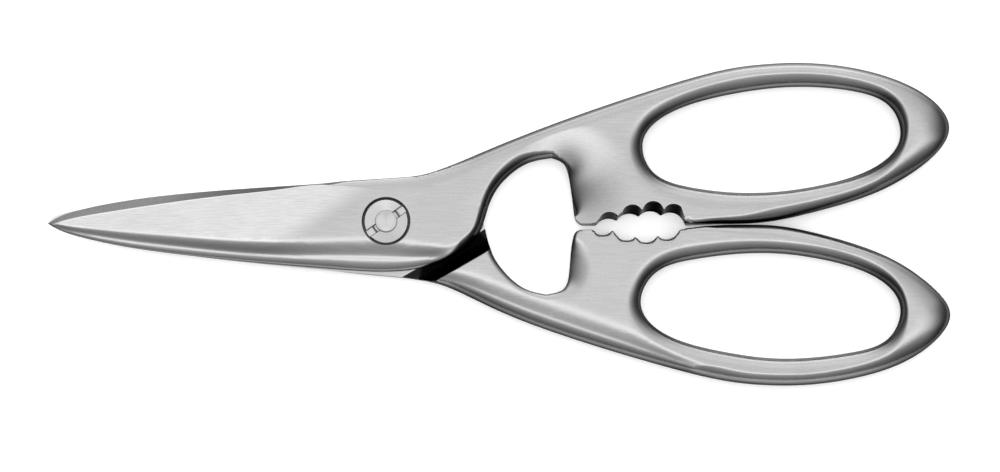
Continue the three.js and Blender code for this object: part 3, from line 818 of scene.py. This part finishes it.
def turned_metal(name, tone, tint, roughness, pitch):
    """Metal with fine turning marks round the pivot axis, pitch millimetres apart."""
    nodes = Nodes(bpy.data.materials.new(name))
    x, y = (nodes.add("SeparateXYZ", {0: nodes.place}, i) for i in (0, 1))
    radius = nodes.math("SQRT", nodes.math(
        "ADD", nodes.math("MULTIPLY", x, x), nodes.math("MULTIPLY", y, y)))
    marks = nodes.noise(nodes.add("CombineXYZ", {0: radius}), 1 / (pitch * MM), MARK_DETAIL)
    clouds = nodes.noise(nodes.place, TURNED_CLOUD_SCALE)
    value = nodes.varied(tone, marks, MARK_CONTRAST)
    value = nodes.varied(value, clouds, TURNED_CLOUD_CONTRAST)
    colour = nodes.add("CombineColor", {
        i: nodes.math("MULTIPLY", value, share) for i, share in enumerate(tint)})
    bump = nodes.add("Bump", {"Height": marks, "Strength": 0.35, "Distance": 0.00004})
    nodes.feed(nodes.surface.inputs["Anisotropic"], 0.9)
    nodes.feed(nodes.surface.inputs["Tangent"], nodes.add(
        "Tangent", direction_type="RADIAL", axis="Z"))
    nodes.feed(nodes.surface.inputs["Base Color"], colour)
    nodes.feed(nodes.surface.inputs["Roughness"], nodes.varied(roughness, marks, MARK_ROUGH))
    nodes.feed(nodes.surface.inputs["Metallic"], 1.0)
    nodes.feed(nodes.surface.inputs["Normal"], bump)
    return nodes.owner


def floor_material():
    nodes = Nodes(bpy.data.materials.new("pale_floor"))
    clouds = nodes.noise(nodes.place, FLOOR_CLOUD_SCALE)
    value = nodes.math("ADD", FLOOR_TONE, nodes.math("MULTIPLY", clouds, FLOOR_CONTRAST))
    nodes.feed(nodes.surface.inputs["Base Color"], nodes.grey(value))
    nodes.feed(nodes.surface.inputs["Roughness"], 0.9)
    nodes.feed(nodes.surface.inputs["Specular IOR Level"], 0.0)
    nodes.feed(nodes.surface.inputs["Emission Color"], (1, 1, 1, 1))
    nodes.feed(nodes.surface.inputs["Emission Strength"], FLOOR_GLOW)
    return nodes.owner


# ---- the object ------------------------------------------------------------------------------

def placed(piece, body, node, material):
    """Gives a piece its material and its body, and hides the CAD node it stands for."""
    piece.data.materials.append(material)
    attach(piece, body)
    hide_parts(node)


def seat_rows(seat_radius):
    """Radii of the rings of points that shape a seat's wall and chamfer."""
    return seat_radius - STEP_WALL, seat_radius, seat_radius + SEAT_CHAMFER


# Rings of points round the pivot, from the bore outwards.
FRONT_RINGS = (3.2, 4.2, 4.9, *seat_rows(FRONT_SEAT[0]), 5.6, 6.1)
BACK_RINGS = (4.3, *seat_rows(HEAD_SEAT[0]), 5.8, 6.6, *seat_rows(WASHER_SEAT[0]), 7.9)


def build_halves(material):
    front = half_mesh("front_half_forging", FRONT, FRONT_BORE, FRONT_RINGS)
    placed(front, "front", "front_half", material)
    back = half_mesh("back_half_forging", BACK, BACK_BORE, BACK_RINGS)
    turn_over = Matrix.Translation((0, 0, THICKNESS * MM)) @ Matrix.Rotation(math.pi, 4, "X")
    back.data.transform(turn_over)
    placed(back, "back", "back_half", material)


def build_pivot(steel, spring, bronze):
    """The hardware on the pivot axis: bolt, ring nut, disc spring and bearing washer."""
    bolt = turned("pivot_bolt_turned", [
        (2.0, 0), (4.0, 0.03), (4.45, 0.15), (4.6, 0.4), (4.6, 1.2), (3.2, 1.2), (2.6, 1.2),
        (2.6, 2.65), (2.4, 2.65), (2.42, 6.7), (2.36, 6.82), (2.2, 6.88), (1.6, 6.92),
        (0.8, 6.94)], solid=True, square_rows=(6, 7))
    placed(bolt, "back", "pivot_bolt", steel)
    nut = nut_mesh(
        "pivot_nut_slotted", low=5.6, high=6.9, outer_radius=4.92, bore=2.47,
        slot_width=1.9, slot_depth=0.8, slot_turn=math.radians(35))
    placed(nut, "nut", "pivot_nut", steel)
    cone = turned("disc_spring_formed", [
        (2.6, 5.05), (4.5, 4.9), (4.6, 4.98), (4.6, 5.12), (2.7, 5.3), (2.6, 5.22)])
    placed(cone, "nut", "disc_spring", spring)
    washer = turned("bearing_washer_turned", [
        (4.0, 2.95), (6.9, 2.95), (7.0, 3.03), (7.0, 3.27), (6.9, 3.35), (4.0, 3.35),
        (3.9, 3.27), (3.9, 3.03)])
    placed(washer, "back", "bearing_washer", bronze)


# ---- floor, light and camera -------------------------------------------------------------------

FLOOR_TONE = 0.85
FLOOR_GLOW = 0.3
FLOOR_CLOUD_SCALE = 3.0
FLOOR_CONTRAST = 0.01
FLOOR_SIZE = 6.0
FLOOR_GAP = 0.0003

# Soft lights: the direction they come from, their spread in X, Y and Z, and their strength.
SOFT_LIGHTS = [
    ((0.0, 0.23, 1.03), (0.51, 0.50, 0.70), 2.04),
    ((0.0, -0.24, 1.67), (0.95, 0.09, 0.28), 2.30),
    ((0.0, -0.75, 0.56), (0.39, 0.50, 0.47), 0.43),
    ((0.0, 0.56, -0.05), (0.94, 0.27, 0.27), 5.00),
    ((0.0, 0.77, 0.57), (0.75, 0.55, 0.17), 1.49),
]
SURROUND = 0.122

VIEW_TILT = math.radians(5)
CAMERA_TARGET = Vector((25.2, -3.0, 3.5)) * MM
CAMERA_DISTANCE = 1.5
CAMERA_LENS = 243.7
SENSOR_WIDTH = 36
CLIP_START = 0.01


def build_floor():
    bpy.ops.mesh.primitive_grid_add(x_subdivisions=8, y_subdivisions=8, size=FLOOR_SIZE)
    floor = bpy.context.object
    floor.name = "studio_floor"
    floor.location.z = cad_box[0].z - FLOOR_GAP
    floor.data.materials.append(floor_material())


def build_lights():
    """A dim surround with soft lobes of light, like large diffusers round the object."""
    world = bpy.data.worlds.new("soft_studio")
    bpy.context.scene.world = world
    nodes = Nodes(world, shader="Background", coordinates="Generated")
    total = SURROUND
    for centre, spread, strength in SOFT_LIGHTS:
        offset = nodes.add("VectorMath", {
            0: nodes.place, 1: Vector(centre).normalized()}, operation="SUBTRACT")
        scaled = nodes.add("VectorMath", {0: offset, 1: spread}, operation="DIVIDE")
        square = nodes.add("VectorMath", {0: scaled, 1: scaled}, 1, operation="DOT_PRODUCT")
        lobe = nodes.math("EXPONENT", nodes.math("MULTIPLY", square, -0.5))
        total = nodes.math("ADD", nodes.math("MULTIPLY", lobe, strength), total)
    nodes.feed(nodes.surface.inputs["Strength"], total)
    nodes.feed(nodes.surface.inputs["Color"], (1, 1, 1, 1))


def build_camera():
    data = bpy.data.cameras.new("product_camera")
    data.lens = CAMERA_LENS
    data.sensor_width = SENSOR_WIDTH
    data.clip_start = CLIP_START
    camera = bpy.data.objects.new("product_camera", data)
    bpy.context.scene.collection.objects.link(camera)
    camera.rotation_euler = (VIEW_TILT, 0, 0)
    camera.location = CAMERA_TARGET + CAMERA_DISTANCE * Vector(
        (0, -math.sin(VIEW_TILT), math.cos(VIEW_TILT)))
    bpy.context.scene.camera = camera


build_halves(forged_steel())
build_pivot(
    turned_metal("turned_pivot_steel", tone=0.31, tint=(1, 1, 1), roughness=0.35, pitch=0.3),
    turned_metal("spring_steel", tone=0.3, tint=(1, 0.99, 0.97), roughness=0.4, pitch=0.15),
    turned_metal("bronze", tone=0.5, tint=(1, 0.72, 0.4), roughness=0.42, pitch=0.2))
build_floor()
build_lights()
build_camera()
bpy.context.scene.view_settings.view_transform = "Standard"
